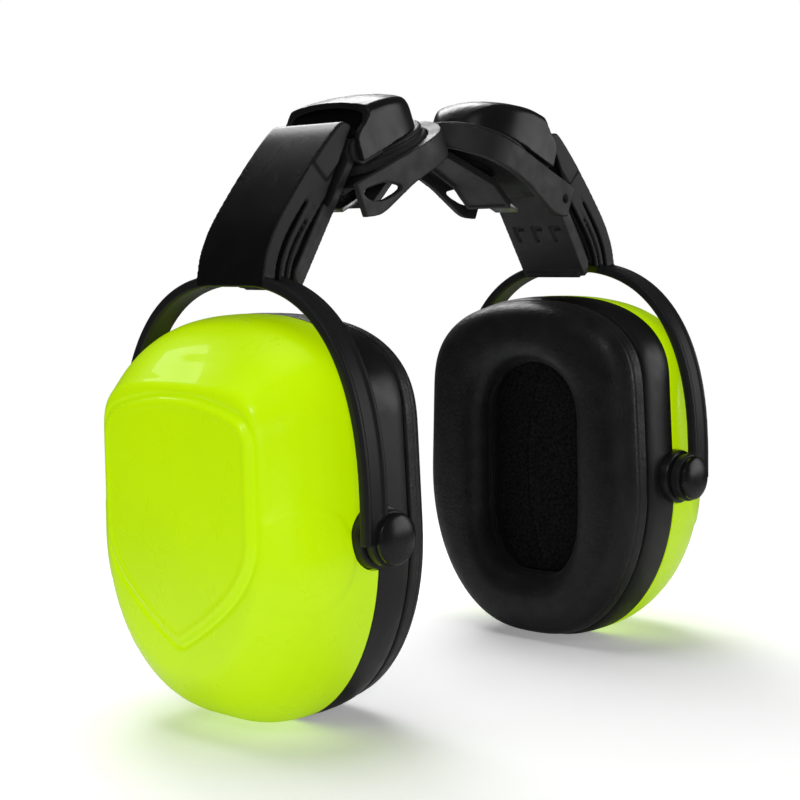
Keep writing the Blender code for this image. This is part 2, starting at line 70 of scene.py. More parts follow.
LINE_ORIGIN = (50.5, 132.0)
LINE_UP = (-0.53, 0.848)
LINE_OUT = (0.848, 0.53)
ARM_HALF = 13.0
HEAD_HALF = 13.35
STEM_THICK = 2.4
STEM_HALF = 12.0
STEM_ALONG = (-20.8, 19.0)
HINGE_ALONG = 21.5
HINGE_OUT = 1.2
HINGE_R = 1.3
HINGE_BORE_R = HINGE_R + 0.15

DECK_ORIGIN = (22.0, 149.9)
DECK_TILT = math.radians(23.5)
COLLAR_R = 17.0
RIDGE_R = 16.2
DECK_THICK = 2.2
WALL_THICK = 2.0
HOOD_HALF = 15.9
HOOD_WALL = 1.8


# ---------------------------------------------------------------- mesh helpers
def mesh_object(name, points, faces):
    """An object from points in mm, with doubled points joined and its faces turned outwards."""
    mesh = bpy.data.meshes.new(name)
    mesh.from_pydata((np.asarray(points, float) * MM).tolist(), [], faces)
    obj = bpy.data.objects.new(name, mesh)
    scene.collection.objects.link(obj)
    bm = bmesh.new()
    bm.from_mesh(mesh)
    bmesh.ops.remove_doubles(bm, verts=bm.verts, dist=2e-7)
    bmesh.ops.recalc_face_normals(bm, faces=bm.faces)
    bm.to_mesh(mesh)
    bm.free()
    return obj


def grid_faces(rows, cols, wrap_rows=False, caps=True):
    """Quads over rows of cols points, each row a closed loop."""
    faces = []
    for i in range(rows if wrap_rows else rows - 1):
        a = i * cols
        b = ((i + 1) % rows) * cols
        for k in range(cols):
            m = (k + 1) % cols
            faces.append((a + k, a + m, b + m, b + k))
    if caps and not wrap_rows:
        faces.append(tuple(range(cols)))
        faces.append(tuple(range((rows - 1) * cols, rows * cols)))
    return faces


def loft(name, rings, wrap=False):
    """A closed skin over equal rings of points; capped ends, or joined last to first."""
    rings = np.asarray(rings, float)
    rows, cols = rings.shape[:2]
    return mesh_object(name, rings.reshape(-1, 3), grid_faces(rows, cols, wrap))


def prism(name, outline_2d, low, high, place):
    """Extrude a flat outline; place(a, b, c) gives the point, c the way along the extrusion."""
    return loft(name, [[place(a, b, c) for a, b in outline_2d] for c in (low, high)])


def lathe(name, centre, direction, profile, sides=96):
    """Turn a profile of (radius, height) about a direction; the ends are capped."""
    axis = Vector(direction).normalized()
    side = axis.orthogonal().normalized()
    other = axis.cross(side)
    rings = []
    for radius, height in profile:
        mid = Vector(centre) + axis * height
        turns = [2 * math.pi * k / sides for k in range(sides)]
        rings.append([mid + side * radius * math.cos(t) + other * radius * math.sin(t) for t in turns])
    return loft(name, rings)


def drum(name, start, direction, radius, length, sides=64):
    """A plain cylinder from start along a direction."""
    return lathe(name, start, direction, [(radius, 0.0), (radius, length)], sides)


def bake(obj):
    """Turn an object's modifiers into its mesh."""
    bpy.context.view_layer.update()
    graph = bpy.context.evaluated_depsgraph_get()
    mesh = bpy.data.meshes.new_from_object(obj.evaluated_get(graph))
    obj.modifiers.clear()
    obj.data = mesh
    return obj


def combine(obj, tools, operation):
    """Apply each tool to the object in turn, then remove the tools."""
    for tool in tools:
        mod = obj.modifiers.new("bool", "BOOLEAN")
        mod.operation = operation
        mod.solver = "EXACT"
        mod.object = tool
    bake(obj)
    for tool in tools:
        bpy.data.objects.remove(tool, do_unlink=True)
    return obj


def cut(obj, *tools):
    return combine(obj, tools, "DIFFERENCE")


def join(obj, *tools):
    return combine(obj, tools, "UNION")


def moulded(obj, voxel, rounds):
    """Even out a solid to a fine grid and soften its edges, as a mould does."""
    mesh = obj.modifiers.new("voxels", "REMESH")
    mesh.mode = "VOXEL"
    mesh.voxel_size = voxel * MM
    soft = obj.modifiers.new("soften", "SMOOTH")
    soft.factor = 0.5
    soft.iterations = rounds
    return bake(obj)


def smooth_shade(obj, angle=None):
    """Smooth shading, with a crisp line where faces meet at more than angle degrees."""
    obj.data.shade_smooth()
    if angle is not None:
        obj.data.set_sharp_from_angle(angle=math.radians(angle))
    return obj


def between(a, b, c, d, t):
    """The point a part t of the way from b to c on the smooth line a, b, c, d (Catmull-Rom)."""
    return 0.5 * (2 * b + (c - a) * t + (2 * a - 5 * b + 4 * c - d) * t * t
                  + (3 * b - a - 3 * c + d) * t ** 3)


def curve(points, steps=8, closed=False):
    """A smooth line through points."""
    p = np.asarray(points, float)
    n = len(p)
    out = []
    for i in range(n if closed else n - 1):
        a = p[(i - 1) % n] if closed or i > 0 else p[i]
        b = p[i]
        c = p[(i + 1) % n]
        d = p[(i + 2) % n] if closed or i + 2 < n else c
        out += [between(a, b, c, d, s / steps) for s in range(steps)]
    if not closed:
        out.append(p[-1])
    return np.array(out)


def even_loop(points, count):
    """A closed line cut into equal lengths, from its first point."""
    p = np.vstack([points, points[:1]])
    run = np.concatenate([[0.0], np.cumsum(np.linalg.norm(np.diff(p, axis=0), axis=1))])
    want = np.linspace(0.0, run[-1], count, endpoint=False)
    return np.stack([np.interp(want, run, p[:, k]) for k in range(p.shape[1])], axis=1)


def relax(values, rounds, axis, closed):
    """Soften a grid along one axis."""
    v = values.copy()
    for _ in range(rounds):
        before = np.roll(v, 1, axis)
        after = np.roll(v, -1, axis)
        new = 0.5 * v + 0.25 * (before + after)
        if not closed:
            keep = [slice(None)] * v.ndim
            for end in (0, -1):
                keep[axis] = end
                new[tuple(keep)] = v[tuple(keep)]
        v = new
    return v


def ease(t):
    """A soft step from 0 to 1."""
    t = np.clip(t, 0.0, 1.0)
    return t * t * (3 - 2 * t)


# ---------------------------------------------------------------- outlines
def outline(half_low, half_high, z_low, z_high, sharp=2.35, low_part=0.46, high_part=0.24, count=256):
    """Closed (y, z) outline: round below, squarer above, a short flat at the foot."""
    height = z_high - z_low
    z_side = z_low + low_part * height
    z_shoulder = z_high - high_part * height
    turn = np.linspace(0.0, 0.5 * math.pi, 60)
    low_y = STAND_FLAT + (half_low - STAND_FLAT) * np.sin(turn)
    low_z = z_side - (z_side - z_low) * np.cos(turn)
    high_y = half_high * np.cos(turn) ** (2 / sharp)
    high_z = z_shoulder + (z_high - z_shoulder) * np.sin(turn) ** (2 / sharp)
    y = np.concatenate([[0.0], low_y, high_y])
    z = np.concatenate([[z_low], low_z, high_z])
    left_y, left_z = -y[::-1][1:-1], z[::-1][1:-1]
    loop = np.stack([np.concatenate([y, left_y]), np.concatenate([z, left_z])], axis=1)
    return relax(even_loop(loop, count), 3, 0, True)


def ring(x, loop):
    """A flat (y, z) loop stood at x."""
    return np.concatenate([np.full((len(loop), 1), x), loop], axis=1)


def cup_ring(x, inset=0.0, count=256):
    """The cup's outline at x, moved inwards."""
    loop = outline(CUP_HALF_LOW - inset, CUP_HALF_HIGH - inset, inset, CUP_HEIGHT - inset, count=count)
    return ring(x, loop)


def ear_ring(x, grow=0.0, count=256):
    """The ear opening's outline at x, moved outwards."""
    half = EAR_HALF + grow
    loop = outline(half, half, EAR_Z[0] - grow, EAR_Z[1] + grow, 2.1, 0.28, 0.26, count)
    return ring(x, loop)


def along_out(along, out, y):
    """A point on the arm line: along it, out from it, across."""
    x = LINE_ORIGIN[0] + along * LINE_UP[0] + out * LINE_OUT[0]
    z = LINE_ORIGIN[1] + along * LINE_UP[1] + out * LINE_OUT[1]
    return (x, y, z)


def run_lift(run, lift, y):
    """A point on the adapter deck: along it towards the tip, above it, across."""
    c, s = math.cos(DECK_TILT), math.sin(DECK_TILT)
    return (DECK_ORIGIN[0] - run * c + lift * s, y, DECK_ORIGIN[1] + run * s + lift * c)


def deck_flat(run, y, lift):
    """The same point, for an outline that lies flat on the deck."""
    return run_lift(run, lift, y)


def side_plane(x, z, y):
    """A point given in the unit's side view, for an outline extruded across."""
    return (x, y, z)


DECK_NORMAL = (math.sin(DECK_TILT), 0.0, math.cos(DECK_TILT))


# ---------------------------------------------------------------- materials
def look(name, colour, rough, metal=0.0, **extra):
    """A Principled material; extra names sockets, with _ for a space."""
    mat = bpy.data.materials.new(name)
    mat.use_nodes = True
    bsdf = mat.node_tree.nodes["Principled BSDF"]
    bsdf.inputs["Base Color"].default_value = (*colour, 1.0)
    bsdf.inputs["Roughness"].default_value = rough
    bsdf.inputs["Metallic"].default_value = metal
    for key, value in extra.items():
        bsdf.inputs[key.replace("_", " ")].default_value = value
    return mat


def node(mat, kind, **settings):
    """A new node, with inputs and properties set by name."""
    made = mat.node_tree.nodes.new(kind)
    for key, value in settings.items():
        if key in made.inputs.keys():
            made.inputs[key].default_value = value
        else:
            setattr(made, key.lower(), value)
    return made


def wire(mat, a, out, b, into):
    """Link one node's output to another's input, each by name or number."""
    mat.node_tree.links.new(a.outputs[out], b.inputs[into])


def add_grain(mat, size_mm, depth_mm, cells=False):
    """Fine relief of a given pitch and depth, laid over the relief that is there already."""
    nodes = mat.node_tree.nodes
    bsdf = nodes["Principled BSDF"]
    where = node(mat, "ShaderNodeTexCoord")
    if cells:
        tex = node(mat, "ShaderNodeTexVoronoi", Scale=1.0 / (size_mm * MM))
        tex.feature = "SMOOTH_F1"
        out = "Distance"
    else:
        tex = node(mat, "ShaderNodeTexNoise", Scale=1.0 / (size_mm * MM), Detail=3.0, Roughness=0.6)
        out = "Fac"
    bump = node(mat, "ShaderNodeBump", Strength=1.0, Distance=depth_mm * MM)
    wire(mat, where, "Object", tex, "Vector")
    wire(mat, tex, out, bump, "Height")
    if bsdf.inputs["Normal"].is_linked:
        wire(mat, bsdf.inputs["Normal"].links[0].from_node, "Normal", bump, "Normal")
    wire(mat, bump, "Normal", bsdf, "Normal")


def vary(mat, socket, low, high, size_mm, detail=2.0):
    """Slow uneven patches on one socket: a colour or a number between low and high."""
    bsdf = mat.node_tree.nodes["Principled BSDF"]
    where = node(mat, "ShaderNodeTexCoord")
    tex = node(mat, "ShaderNodeTexNoise", Scale=1.0 / (size_mm * MM), Detail=detail)
    ramp = node(mat, "ShaderNodeValToRGB")
    ramp.color_ramp.elements[0].position = 0.35
    ramp.color_ramp.elements[1].position = 0.65
    for part, value in ((0, low), (1, high)):
        colour = (*value, 1.0) if hasattr(value, "__len__") else (value, value, value, 1.0)
        ramp.color_ramp.elements[part].color = colour
    wire(mat, where, "Object", tex, "Vector")
    wire(mat, tex, "Fac", ramp, "Fac")
    wire(mat, ramp, "Color", bsdf, socket)


GREEN = (0.365, 0.57, 0.0)
GREEN_DEEP = (0.35, 0.555, 0.0)
GREEN_PALE = (0.38, 0.585, 0.0)
# painted light: the shell's glow brightens its shaded sides and flattens its shading, standing in for
# fluorescence
GREEN_PAINTED_GLOW = (0.64, 1.0, 0.0, 1.0)
PAINTED_GLOW_STRENGTH = 0.42


def green_shell():
    """Glossy moulded plastic; a weak glow, painted light that lifts its shaded sides and flattens its
    shading, stands in for fluorescence.
    """
    mat = look("fluorescent_green", GREEN, 0.3, Coat_Weight=0.3, Coat_Roughness=0.04,
               Emission_Color=GREEN_PAINTED_GLOW, Emission_Strength=PAINTED_GLOW_STRENGTH)
    vary(mat, "Base Color", GREEN_DEEP, GREEN_PALE, 26.0)
    vary(mat, "Roughness", 0.26, 0.34, 9.0, 4.0)
    add_grain(mat, 1.4, 0.004)
    return mat


def black_plastic(name, shade, rough, grain_mm, depth_mm):
    """Moulded plastic with a little unevenness in tone and gloss."""
    mat = look(name, (shade,) * 3, rough)
    vary(mat, "Base Color", (shade * 0.85,) * 3, (shade * 1.2,) * 3, 12.0, 4.0)
    vary(mat, "Roughness", rough * 0.88, rough * 1.14, 5.0, 5.0)
    add_grain(mat, grain_mm, depth_mm)
    return mat


def arm_plastic():
    """Smooth and darkest on the broad outer face, finely grained and paler on its sides."""
    mat = look("satin_black_arm", (0.006,) * 3, 0.28, Specular_IOR_Level=0.3)
    add_grain(mat, 0.45, 0.012)
    bsdf = mat.node_tree.nodes["Principled BSDF"]
    where = node(mat, "ShaderNodeTexCoord")
    split = node(mat, "ShaderNodeSeparateXYZ")
    across = node(mat, "ShaderNodeMath", Operation="ABSOLUTE")
    side = node(mat, "ShaderNodeMapRange")
    side.inputs["From Min"].default_value = (ARM_HALF - 0.5) * MM
    side.inputs["From Max"].default_value = (ARM_HALF - 0.1) * MM
    patches = node(mat, "ShaderNodeTexNoise", Scale=160.0, Detail=4.0)
    faint = node(mat, "ShaderNodeMath", Operation="MULTIPLY")
    faint.inputs[1].default_value = 0.25
    blend = node(mat, "ShaderNodeMath", Operation="MULTIPLY_ADD")
    blend.inputs[1].default_value = 0.7
    tone = node(mat, "ShaderNodeValToRGB")
    tone.color_ramp.elements[0].color = (0.003, 0.003, 0.0032, 1.0)
    tone.color_ramp.elements[1].color = (0.014, 0.014, 0.015, 1.0)
    rough = node(mat, "ShaderNodeMapRange")
    rough.inputs["To Min"].default_value = 0.24
    rough.inputs["To Max"].default_value = 0.46
    wire(mat, where, "Object", split, "Vector")
    wire(mat, split, "Y", across, "Value")
    wire(mat, across, "Value", side, "Value")
    wire(mat, where, "Object", patches, "Vector")
    wire(mat, patches, "Fac", faint, "Value")
    wire(mat, side, "Result", blend, 0)
    wire(mat, faint, "Value", blend, 2)
    wire(mat, blend, "Value", tone, "Fac")
    wire(mat, blend, "Value", rough, "Value")
    wire(mat, tone, "Color", bsdf, "Base Color")
    wire(mat, rough, "Result", bsdf, "Roughness")
    return mat


def leatherette():
    """Soft dark skin: a fine leather grain with slower creases over it."""
    mat = look("leatherette", (0.009,) * 3, 0.42, Sheen_Weight=0.03, Sheen_Roughness=0.4)
    vary(mat, "Base Color", (0.007, 0.007, 0.0075), (0.011, 0.011, 0.012), 7.0, 5.0)
    vary(mat, "Roughness", 0.36, 0.5, 3.0, 4.0)
    add_grain(mat, 0.9, 0.07, cells=True)
    add_grain(mat, 3.0, 0.05)
    return mat


def foam_look():
    """Dark open foam, mottled and pitted."""
    mat = look("open_foam", (0.006,) * 3, 0.95, Specular_IOR_Level=0.1)
    vary(mat, "Base Color", (0.003,) * 3, (0.012,) * 3, 0.8, 3.0)
    add_grain(mat, 0.9, 0.25, cells=True)
    return mat


def steel_look():
    """Bright steel with faint marks."""
    mat = look("steel", (0.5, 0.5, 0.51), 0.3, 1.0)
    vary(mat, "Roughness", 0.24, 0.4, 2.0, 4.0)
    add_grain(mat, 0.5, 0.01)
    return mat


MATERIALS = {
    "green": green_shell(),
    "rim": black_plastic("satin_black_rim", 0.007, 0.36, 0.8, 0.006),
    "arm": arm_plastic(),
    "hood": black_plastic("satin_black_hood", 0.007, 0.33, 0.45, 0.008),
    "adapter": black_plastic("black_adapter", 0.019, 0.48, 0.4, 0.02),
    "trim": black_plastic("black_trim", 0.006, 0.28, 0.9, 0.004),
    "skin": leatherette(),
    "foam": foam_look(),
    "steel": steel_look(),
}


def to_both(label, source, body, nodes, material):
    """Copy a right-hand piece to both units, on its body, in place of its CAD nodes."""
    source.data.materials.clear()
    source.data.materials.append(MATERIALS[material])
    for side in ("right", "left"):
        mesh = source.data.copy()
        if side == "left":
            mesh.transform(HALF_TURN)
        obj = bpy.data.objects.new(f"{side}_{label}", mesh)
        scene.collection.objects.link(obj)
        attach(obj, body if body == "adapters" else f"{side}_{body}")
        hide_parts(*[f"{side}_{n}" for n in nodes])
    bpy.data.objects.remove(source, do_unlink=True)


# ---------------------------------------------------------------- cup shell
# x, half width low and high, z low and high, corner sharpness
SHELL = np.array([
    (66.0, 42.5, 41.0, 0.0, 108.0, 2.35),
    (70.0, 42.45, 40.9, 0.1, 107.9, 2.4),
    (74.0, 42.2, 40.4, 0.6, 107.2, 2.5),
    (78.0, 41.5, 39.4, 1.6, 105.6, 2.6),
    (82.0, 40.2, 38.0, 3.2, 103.0, 2.8),
    (86.0, 38.3, 36.1, 5.6, 99.6, 3.1),
    (89.0, 36.3, 34.3, 8.1, 96.6, 3.4),
    (92.0, 33.6, 32.3, 11.5, 93.8, 3.7),
    (94.2, 31.2, 30.9, 14.6, 92.0, 3.9),
    (95.2, 29.9, 30.1, 16.4, 91.2, 4.0),
    (FACE_X, 29.0, 29.3, 17.8, 90.4, 4.0),
])
SHIELD_HALF = 28.4
SHIELD_SIDE_Z = (53.0, 81.0)
SHIELD_TIP_Z = 24.5
SHIELD_CROWN_Z = 88.0
SHIELD_RISE = 0.85
FACE_CENTRE = (0.0, 56.0)


def shield_outline():
    """Heater shield in (y, z): arched top, straight sides, a soft point."""
    part = np.linspace(0.0, 1.0, 40)
    y = SHIELD_HALF * (1 - (1 - part) ** 1.9)
    z = SHIELD_TIP_Z + (SHIELD_SIDE_Z[0] - SHIELD_TIP_Z) * part
    corner = SHIELD_SIDE_Z[1]
    part = np.linspace(0.9, 0.0, 30)
    top_y = SHIELD_HALF * part
    top_z = corner + 1.4 + (SHIELD_CROWN_Z - corner - 1.4) * (1 - part ** 2)
    y = np.concatenate([y, [SHIELD_HALF], top_y])
    z = np.concatenate([z, [corner - 2.0], top_z])
    loop = np.stack([np.concatenate([y, -y[::-1][1:-1]]), np.concatenate([z, z[::-1][1:-1]])], axis=1)
    return relax(even_loop(loop, 320), 8, 0, True)


def signed_distance(points, loop):
    """Distance to a closed line, negative inside it."""
    a = loop
    b = np.roll(loop, -1, 0)
    best = np.full(len(points), 1e9)
    inside = np.zeros(len(points), bool)
    for p, q in zip(a, b):
        edge = q - p
        part = np.clip(((points - p) @ edge) / (edge @ edge), 0, 1)
        gap = np.linalg.norm(points - (p + part[:, None] * edge), axis=1)
        best = np.minimum(best, gap)
        crosses = (p[1] > points[:, 1]) != (q[1] > points[:, 1])
        rise = q[1] - p[1] if abs(q[1] - p[1]) > 1e-12 else 1e-12
        meets = p[0] + (points[:, 1] - p[1]) * (q[0] - p[0]) / rise
        inside ^= crosses & (points[:, 0] < meets)
    return np.where(inside, -best, best)


def grid_normals(grid):
    """Unit normals of a grid of loops, pointing away from the middle line."""
    along = np.gradient(grid, axis=0)
    around = np.roll(grid, -1, 1) - np.roll(grid, 1, 1)
    n = np.cross(around, along)
    n /= np.maximum(np.linalg.norm(n, axis=2, keepdims=True), 1e-9)
    out = grid - np.array([70.0, 0.0, 55.0])
    n[(n * out).sum(2) < 0] *= -1
    return n


def cup_shell():
    side_steps, face_steps, count = 78, 66, 288
    x_rows = SHELL[:, 0]
    run = np.concatenate([[0.0], np.cumsum(np.hypot(np.diff(x_rows), np.diff(SHELL[:, 4])))])
    rows = []
    for want in np.linspace(0.0, run[-1], side_steps):
        x, lo, hi, z0, z1, sharp = [np.interp(want, run, SHELL[:, k]) for k in range(6)]
        rows.append(ring(x, outline(lo, hi, z0, z1, sharp, count=count)))
    edge = rows[-1][:, 1:]
    centre = np.array(FACE_CENTRE)
    for j in range(1, face_steps + 1):
        part = 1.0 - j / (face_steps + 0.35)
        loop = centre + (edge - centre) * part
        rows.append(ring(FACE_X + 0.7 * (1 - part ** 2), loop))
    grid = np.array(rows)
    grid = relax(grid, 10, 0, False)
    normals = grid_normals(grid)
    flat = grid.reshape(-1, 3)
    gap = signed_distance(flat[:, 1:], shield_outline())
    near_face = ease((flat[:, 0] - 88.0) / 4.0)
    lift = SHIELD_RISE * ease((0.4 - gap) / 1.1)
    lift += 0.2 * np.exp(-((gap + 1.5) / 0.8) ** 2)
    lift -= 0.42 * np.exp(-((gap - 0.9) / 0.7) ** 2)
    disc = np.hypot((flat[:, 0] - 86.0) * 1.15, flat[:, 2] - 49.0)
    badge = 0.35 * ease((14.5 - disc) / 1.6) * ease((np.abs(flat[:, 1]) - 29.0) / 4.0)
    flat = flat + normals.reshape(-1, 3) * (lift * near_face + badge)[:, None]
    end_cap = tuple(range((len(rows) - 1) * count, len(rows) * count))
    shell = mesh_object("cup", flat, grid_faces(len(rows), count, caps=False) + [end_cap])
    skin = shell.modifiers.new("wall", "SOLIDIFY")
    skin.thickness = SHELL_WALL * MM
    skin.offset = -1.0
    bake(shell)
    cut(shell, drum("tool", (PIN_X, -60, PIN_Z), (0, 1, 0), SHELL_BORE_R, 120, 96))
    return smooth_shade(shell, 40)


# ---------------------------------------------------------------- rim, cushion, lining
def base_ring():
    """Ring that closes the cup: a lip round the cushion's back, the ear opening and two pin bosses."""
    lip = [
        (65.7, 0.35), (65.4, 0.05), (61.0, 0.0), (57.0, 0.2), (54.8, 0.5), (53.9, 0.85), (53.6, 1.4),
        (53.6, 2.6), (54.6, 3.0),
    ]
    rows = [cup_ring(x, inset) for x, inset in lip]
    rows += [ear_ring(54.6, 1.3), ear_ring(54.8, 1.0), ear_ring(57.2, 1.0)]
    rows += [cup_ring(57.2, 4.6), cup_ring(69.0, 4.6), cup_ring(69.0, 2.9), cup_ring(65.7, 2.9)]
    base = loft("ring", rows, wrap=True)
    boss = [(8.2, 0.0), (8.2, 5.4), (7.9, 6.0), (7.2, 6.2)]
    join(base, *[lathe("tool", (PIN_X, sign * 38.5, PIN_Z), (0, sign, 0), boss) for sign in (-1, 1)])
    return smooth_shade(base, 35)


CUSHION_BACK = 52.9
CUSHION_INSET = 1.1
CUSHION_DEPTH = 9.9
CUSHION_ROWS = 26
CUSHION_COLS = 96
# place of each seam among the rows, its depth and its width
CUSHION_SEAMS = ((1.7, 0.2, 0.2), (18.9, 0.3, 0.25))
PUFF_FRAMES = 20
PUFF_LIMIT = 1.3


def cushion_grid():
    """Loops round the cushion: outer seam, over the crown, to the inner seam, then the flat back."""
    outer = cup_ring(0.0, CUSHION_INSET, CUSHION_COLS)[:, 1:]
    inner = ear_ring(0.0, 0.0, CUSHION_COLS)[:, 1:]
    rows = []
    front = CUSHION_ROWS - 5
    for j in range(front):
        turn = math.pi * j / (front - 1)
        c = math.cos(turn)
        across = 0.5 - 0.5 * math.copysign(abs(c) ** 0.78, c)
        rise = math.sin(turn) ** 0.72
        rows.append(ring(CUSHION_BACK - CUSHION_DEPTH * rise, outer + (inner - outer) * across))
    for part in (0.85, 0.68, 0.5, 0.32, 0.15):
        rows.append(ring(CUSHION_BACK, outer + (inner - outer) * part))
    return np.array(rows)


def puff(obj, grid, pinned):
    """Blow the skin up a little under its own pressure, and read it back."""
    group = obj.vertex_groups.new(name="hold")
    group.add([int(i) for i in pinned], 1.0, "REPLACE")
    cloth = obj.modifiers.new("cloth", "CLOTH")
    s = cloth.settings
    s.quality = 8
    s.mass = 0.25
    s.tension_stiffness = 30
    s.compression_stiffness = 30
    s.shear_stiffness = 12
    s.bending_stiffness = 1.5
    s.use_pressure = True
    s.uniform_pressure_force = 4.0
    s.effector_weights.gravity = 0.0
    s.vertex_group_mass = "hold"
    cloth.point_cache.frame_start = 1
    cloth.point_cache.frame_end = PUFF_FRAMES
    for frame_number in range(1, PUFF_FRAMES + 1):
        scene.frame_set(frame_number)
    bake(obj)
    scene.frame_set(1)
    got = np.array([v.co for v in obj.data.vertices]) / MM
    moved = got - grid.reshape(-1, 3)
    size = np.linalg.norm(moved, axis=1, keepdims=True)
    moved *= np.minimum(1.0, PUFF_LIMIT / np.maximum(size, 1e-9))
    return (grid.reshape(-1, 3) + moved).reshape(grid.shape)


def finer(grid, factor, axis):
    """Smooth closed upsampling along one axis of a grid."""
    g = np.moveaxis(grid, axis, 0)
    a, b, c, d = np.roll(g, 1, 0), g, np.roll(g, -1, 0), np.roll(g, -2, 0)
    parts = [between(a, b, c, d, s / factor) for s in range(factor)]
    out = np.stack(parts, axis=1).reshape(-1, *g.shape[1:])
    return np.moveaxis(out, 0, axis)


def cushion():
    """The padded ring: puffed by a cloth run, refined, then its seams drawn in."""
    grid = cushion_grid()
    flat = grid.reshape(-1, 3)
    start = mesh_object("cushion", flat, grid_faces(*grid.shape[:2], True))
    grid = puff(start, grid, np.flatnonzero(flat[:, 0] > CUSHION_BACK - 0.8))
    bpy.data.objects.remove(start, do_unlink=True)
    grid = np.minimum(grid, np.array([CUSHION_BACK, 1e9, 1e9]))
    fine = finer(finer(grid, 4, 0), 4, 1)
    fine[..., 0] = np.minimum(fine[..., 0], CUSHION_BACK)
    normals = ring_normals(fine)
    place = np.arange(fine.shape[0]) / 4.0
    for seam, depth, width in CUSHION_SEAMS:
        groove = -depth * np.exp(-((place - seam) / width) ** 2)
        fine = fine + normals * groove[:, None, None]
    flat = fine.reshape(-1, 3)
    made = mesh_object("cushion", flat, grid_faces(fine.shape[0], fine.shape[1], True))
    return smooth_shade(made)


def ring_normals(grid):
    """Outward normals of a grid closed both ways."""
    down = np.roll(grid, -1, 0) - np.roll(grid, 1, 0)
    around = np.roll(grid, -1, 1) - np.roll(grid, 1, 1)
    n = np.cross(around, down)
    n /= np.maximum(np.linalg.norm(n, axis=2, keepdims=True), 1e-9)
    middle = grid.mean(axis=0, keepdims=True)
    if ((grid - middle) * n).sum() < 0:
        n = -n
    return n


def ear_lining():
    """Thin foam sheet behind the opening, a little pillowed, with a slit seam."""
    count, steps = 240, 80
    edge = ear_ring(0.0, 5.6, count)[:, 1:]
    centre = np.array([0.0, 0.5 * (EAR_Z[0] + EAR_Z[1])])
    rows = [ring(59.8, centre + (edge - centre) * 0.3), ring(59.8, edge)]
    for j in range(steps + 1):
        part = 1.0 - j / (steps + 0.4)
        rows.append(ring(58.2 - 0.9 * (1 - part ** 2.5), centre + (edge - centre) * part))
    grid = np.array(rows)
    flat = grid.reshape(-1, 3)
    seam_y = 7.4 - 0.0055 * (flat[:, 2] - 54.0) ** 2
    front = flat[:, 0] < 58.5
    ridge = np.exp(-((flat[:, 1] - seam_y) / 0.55) ** 2) * front * (np.abs(flat[:, 2] - 54.0) < 31.0)
    flat[:, 0] -= 0.8 * ridge
    made = mesh_object("lining", flat, grid_faces(len(grid), count))
    return smooth_shade(made, 50)


def pivot_pins(sign):
    """One pin: a shank through the yoke's end under a domed cap."""
    turn = np.linspace(0.0, 0.5 * math.pi, 14)
    dome = [(6.6 * math.cos(t), 0.9 + 1.9 * math.sin(t)) for t in turn[:-1]]
    profile = [(2.0, -11.9), (2.0, 0.0), (6.3, 0.0), (6.6, 0.25), (6.6, 0.6)] + dome + [(0.3, 2.8)]
    pin = lathe("pin", (PIN_X, sign * 48.4, PIN_Z), (0, sign, 0), profile)
    return smooth_shade(pin, 40)


# ---------------------------------------------------------------- yoke and arm
def strap_rings():
    """The strap's section, with a shallow groove in its outer face, carried over its arch."""
    steps = 150
    turn = np.linspace(0.0, math.pi, steps + 1)
    y = np.sign(np.cos(turn)) * np.abs(np.cos(turn)) ** STRAP_POWER * STRAP_HALF
    z = STRAP_BASE_Z + STRAP_RISE * np.abs(np.sin(turn)) ** STRAP_POWER
    path = np.stack([y, z], axis=1)
    path = np.vstack([[STRAP_HALF, PIN_Z - 1.0], path, [-STRAP_HALF, PIN_Z - 1.0]])
    fine = relax(path, 3, 0, False)
    tangent = np.gradient(fine, axis=0)
    tangent /= np.linalg.norm(tangent, axis=1, keepdims=True)
    normal = np.stack([tangent[:, 1], -tangent[:, 0]], axis=1)
    x0, x1 = STRAP_X
    half = 0.5 * STRAP_THICK
    section = [
        (x0 + 0.5, -half), (x1 - 0.5, -half), (x1, -half + 0.5), (x1, half - 0.5), (x1 - 0.5, half),
        (x1 - 1.5, half), (x1 - 2.0, half - 0.45), (x0 + 2.0, half - 0.45), (x0 + 1.5, half),
        (x0 + 0.5, half), (x0, half - 0.5), (x0, -half + 0.5),
    ]
    rings = []
    for mid, out in zip(fine, normal):
        rings.append([(x, mid[0] + out[0] * lift, mid[1] + out[1] * lift) for x, lift in section])
    return rings


ARM_PROFILE = [
    (75.9, 115.3), (75.8, 118.2), (74.4, 124.0), (70.8, 131.0), (64.4, 139.4), (57.8, 147.2),
    (51.4, 154.0), (47.6, 157.4), (46.2, 158.2), (44.4, 158.0), (41.6, 155.9), (41.32, 155.74),
    (63.05, 120.98), (66.0, 117.8), (68.3, 115.3),
]
HEAD_PROFILE = [
    (57.2, 147.4), (51.2, 153.8), (47.5, 157.2), (46.2, 158.0), (44.4, 157.9), (41.8, 156.2),
    (45.6, 149.6), (52.6, 142.8),
]
ARM_FACE_POINTS = 7
# near and far edge of each side groove below the outer face, and its depth
RIB_GROOVES = ((4.2, 5.7, 1.7), (7.4, 8.3, 1.0))
ARM_SKIRT = 9.6
ARM_SKIRT_HALF = 10.9


def inward(line, distance):
    """A line in the arm's side plane moved towards its inner side."""
    step = np.gradient(line, axis=0)
    step /= np.linalg.norm(step, axis=1, keepdims=True)
    return line + distance * np.stack([-step[:, 1], step[:, 0]], axis=1)


def side_band(line, near, far):
    """The strip of the arm's side between two depths from its outer face."""
    fade = np.linspace(0.0, 1.0, len(line))[:, None]
    middle = 0.5 * (near + far)
    outer_edge = inward(line, near + (middle - near) * fade ** 6)
    inner_edge = inward(line, far + (middle - far) * fade ** 6)
    return [tuple(p) for p in outer_edge] + [tuple(p) for p in inner_edge[::-1]]


